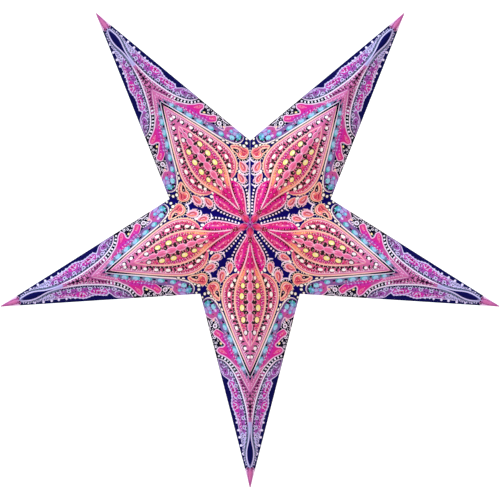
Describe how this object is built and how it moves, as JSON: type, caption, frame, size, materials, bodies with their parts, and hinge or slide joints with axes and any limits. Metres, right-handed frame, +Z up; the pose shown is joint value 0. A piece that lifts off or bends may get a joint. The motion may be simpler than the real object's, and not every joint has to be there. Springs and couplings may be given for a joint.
{
  "type": "paper star lantern",
  "caption": "Hanging star lantern of folded printed card, hollow for a lamp, that opens at its top seam and folds flat like a fan.",
  "frame": {"origin": "middle of the opened star, where the lamp hangs", "axes": "+X to the right, +Y to the back, +Z up; two points up and one down"},
  "size_m": [0.5986, 0.179, 0.5693],
  "materials": {
    "printed_card": "matt printed",
    "plain_card": "matt",
    "hook_tape": "woven hooks",
    "loop_tape": "soft loops",
    "eyelet_metal": "bright"
  },
  "bodies": {
    "upper_left_back_a": {"back_hook_dots": "hook_tape", "back_seam_flap_left": "printed_card", "hanging_eyelet_left": "eyelet_metal", "upper_left_back_panel_a": "printed_card"},
    "upper_right_back_b": {"back_loop_dots": "loop_tape", "back_seam_flap_right": "printed_card", "hanging_eyelet_right": "eyelet_metal", "upper_right_back_panel_b": "printed_card", "upper_right_closing_lap": "plain_card"},
    "front_seam_flap_left": {"front_hook_dots": "hook_tape", "front_seam_flap_left": "printed_card"},
    "front_seam_flap_right": {"front_loop_dots": "loop_tape", "front_seam_flap_right": "printed_card"},
    "left_back_a": {"left_back_joining_lap": "plain_card", "left_back_panel_a": "printed_card"},
    "left_back_b": {"left_back_panel_b": "printed_card", "left_closing_lap": "plain_card"},
    "left_front_a": {"left_front_joining_lap": "plain_card", "left_front_panel_a": "printed_card"},
    "left_front_b": {"left_front_panel_b": "printed_card"},
    "lower_back_a": {"lower_back_joining_lap": "plain_card", "lower_back_panel_a": "printed_card"},
    "lower_back_b": {"lower_back_panel_b": "printed_card", "lower_closing_lap": "plain_card"},
    "lower_front_a": {"lower_front_joining_lap": "plain_card", "lower_front_panel_a": "printed_card"},
    "lower_front_b": {"lower_front_panel_b": "printed_card"},
    "right_back_a": {"right_back_joining_lap": "plain_card", "right_back_panel_a": "printed_card"},
    "right_back_b": {"right_back_panel_b": "printed_card", "right_closing_lap": "plain_card"},
    "right_front_a": {"right_front_joining_lap": "plain_card", "right_front_panel_a": "printed_card"},
    "right_front_b": {"right_front_panel_b": "printed_card"},
    "upper_left_back_b": {"upper_left_back_panel_b": "printed_card", "upper_left_closing_lap": "plain_card"},
    "upper_left_front_a": {"upper_left_front_panel_a": "printed_card"},
    "upper_left_front_b": {"upper_left_front_panel_b": "printed_card"},
    "upper_right_back_a": {"upper_right_back_joining_lap": "plain_card", "upper_right_back_panel_a": "printed_card"},
    "upper_right_front_a": {"upper_right_front_joining_lap": "plain_card", "upper_right_front_panel_a": "printed_card"},
    "upper_right_front_b": {"upper_right_front_panel_b": "printed_card"}
  },
  "joints": [
    {"name": "upper_left_outline_fold_a", "type": "hinge", "parent": "upper_left_back_a", "child": "upper_left_front_a", "pos_m": [-0.09258, 0, 0.17802], "axis": [-0.7696, 0, 0.6386], "range_deg": [0, 79.24]},
    {"name": "upper_left_outline_fold_b", "type": "hinge", "parent": "upper_left_front_b", "child": "upper_left_back_b", "pos_m": [-0.1407, 0, 0.14306], "axis": [-0.3695, 0, 0.9292], "range_deg": [0, 79.74]},
    {"name": "upper_left_ridge_fold", "type": "hinge", "parent": "upper_left_front_a", "child": "upper_left_front_b", "pos_m": [-0.09258, -0.045, 0.12742], "axis": [0.5652, -0.2747, -0.7779], "range_deg": [0, 82.77]},
    {"name": "upper_left_to_left_valley_fold", "type": "hinge", "parent": "upper_left_front_b", "child": "left_front_a", "pos_m": [-0.04852, -0.04547, 0.01577], "axis": [-0.7107, 0.6645, 0.2309], "range_deg": [0, 117.75]},
    {"name": "left_outline_fold_a", "type": "hinge", "parent": "left_front_a", "child": "left_back_a", "pos_m": [-0.19791, 0, -0.03303], "axis": [0.8451, 0, 0.5346], "range_deg": [0, 79.74]},
    {"name": "left_outline_fold_b", "type": "hinge", "parent": "left_front_b", "child": "left_back_b", "pos_m": [-0.17953, 0, -0.08961], "axis": [-0.9979, 0, -0.0643], "range_deg": [0, 79.74]},
    {"name": "left_ridge_fold", "type": "hinge", "parent": "left_front_a", "child": "left_front_b", "pos_m": [-0.14979, -0.045, -0.04867], "axis": [0.9145, -0.2747, 0.2971], "range_deg": [0, 82.77]},
    {"name": "left_to_lower_valley_fold", "type": "hinge", "parent": "left_front_b", "child": "lower_front_a", "pos_m": [-0.02999, -0.04547, -0.04127], "axis": [-0.4392, 0.6645, -0.6045], "range_deg": [0, 117.75]},
    {"name": "lower_outline_fold_a", "type": "hinge", "parent": "lower_front_a", "child": "lower_back_a", "pos_m": [-0.02974, 0, -0.19844], "axis": [-0.2472, 0, 0.969], "range_deg": [0, 79.74]},
    {"name": "lower_outline_fold_b", "type": "hinge", "parent": "lower_front_b", "child": "lower_back_b", "pos_m": [0.02974, 0, -0.19844], "axis": [-0.2472, 0, -0.969], "range_deg": [0, 79.74]},
    {"name": "lower_ridge_fold", "type": "hinge", "parent": "lower_front_a", "child": "lower_front_b", "pos_m": [0, -0.045, -0.1575], "axis": [0, -0.2747, 0.9615], "range_deg": [0, 82.77]},
    {"name": "lower_to_right_valley_fold", "type": "hinge", "parent": "lower_front_b", "child": "right_front_a", "pos_m": [0.02999, -0.04547, -0.04127], "axis": [0.4392, 0.6645, -0.6045], "range_deg": [0, 117.75]},
    {"name": "right_outline_fold_a", "type": "hinge", "parent": "right_front_a", "child": "right_back_a", "pos_m": [0.17953, 0, -0.08961], "axis": [-0.9979, 0, 0.0643], "range_deg": [0, 79.74]},
    {"name": "right_outline_fold_b", "type": "hinge", "parent": "right_front_b", "child": "right_back_b", "pos_m": [0.19791, 0, -0.03303], "axis": [0.8451, 0, -0.5346], "range_deg": [0, 79.74]},
    {"name": "right_ridge_fold", "type": "hinge", "parent": "right_front_a", "child": "right_front_b", "pos_m": [0.14979, -0.045, -0.04867], "axis": [-0.9145, -0.2747, 0.2971], "range_deg": [0, 82.77]},
    {"name": "right_to_upper_right_valley_fold", "type": "hinge", "parent": "right_front_b", "child": "upper_right_front_a", "pos_m": [0.04852, -0.04547, 0.01577], "axis": [0.7107, 0.6645, 0.2309], "range_deg": [0, 117.75]},
    {"name": "upper_right_outline_fold_a", "type": "hinge", "parent": "upper_right_front_a", "child": "upper_right_back_a", "pos_m": [0.1407, 0, 0.14306], "axis": [-0.3695, 0, -0.9292], "range_deg": [0, 79.74]},
    {"name": "upper_right_outline_fold_b", "type": "hinge", "parent": "upper_right_front_b", "child": "upper_right_back_b", "pos_m": [0.09258, 0, 0.17802], "axis": [0.7696, 0, 0.6386], "range_deg": [0, 79.74]},
    {"name": "upper_right_ridge_fold", "type": "hinge", "parent": "upper_right_front_a", "child": "upper_right_front_b", "pos_m": [0.09258, -0.045, 0.12742], "axis": [-0.5652, -0.2747, -0.7779], "range_deg": [0, 82.77]},
    {"name": "front_seam_flap_left_fold", "type": "hinge", "parent": "upper_left_front_a", "child": "front_seam_flap_left", "pos_m": [-0.00064, -0.04544, 0.05099], "axis": [0, -0.6645, -0.7472], "range_deg": [0, 58.5]},
    {"name": "front_seam_flap_right_fold", "type": "hinge", "parent": "upper_right_front_b", "child": "front_seam_flap_right", "pos_m": [0.00064, -0.04544, 0.05099], "axis": [0, 0.6645, 0.7472], "range_deg": [0, 58.5]}
  ],
  "couplings": [
    {"joint": "upper_left_outline_fold_b", "follows": "upper_left_outline_fold_a", "ratio": 1},
    {"joint": "upper_left_ridge_fold", "follows": "upper_left_outline_fold_a", "ratio": 1.0382},
    {"joint": "upper_left_to_left_valley_fold", "follows": "upper_left_outline_fold_a", "ratio": 1.4797},
    {"joint": "left_outline_fold_a", "follows": "upper_left_outline_fold_a", "ratio": 1},
    {"joint": "left_outline_fold_b", "follows": "upper_left_outline_fold_a", "ratio": 1},
    {"joint": "left_ridge_fold", "follows": "upper_left_outline_fold_a", "ratio": 1.0382},
    {"joint": "left_to_lower_valley_fold", "follows": "upper_left_outline_fold_a", "ratio": 1.4797},
    {"joint": "lower_outline_fold_a", "follows": "upper_left_outline_fold_a", "ratio": 1},
    {"joint": "lower_outline_fold_b", "follows": "upper_left_outline_fold_a", "ratio": 1},
    {"joint": "lower_ridge_fold", "follows": "upper_left_outline_fold_a", "ratio": 1.0382},
    {"joint": "lower_to_right_valley_fold", "follows": "upper_left_outline_fold_a", "ratio": 1.4797},
    {"joint": "right_outline_fold_a", "follows": "upper_left_outline_fold_a", "ratio": 1},
    {"joint": "right_outline_fold_b", "follows": "upper_left_outline_fold_a", "ratio": 1},
    {"joint": "right_ridge_fold", "follows": "upper_left_outline_fold_a", "ratio": 1.0382},
    {"joint": "right_to_upper_right_valley_fold", "follows": "upper_left_outline_fold_a", "ratio": 1.4797},
    {"joint": "upper_right_outline_fold_a", "follows": "upper_left_outline_fold_a", "ratio": 1},
    {"joint": "upper_right_outline_fold_b", "follows": "upper_left_outline_fold_a", "ratio": 1},
    {"joint": "upper_right_ridge_fold", "follows": "upper_left_outline_fold_a", "ratio": 1.0382},
    {"joint": "front_seam_flap_left_fold", "follows": "upper_left_outline_fold_a", "ratio": 0.73195},
    {"joint": "front_seam_flap_right_fold", "follows": "upper_left_outline_fold_a", "ratio": 0.73195}
  ]
}
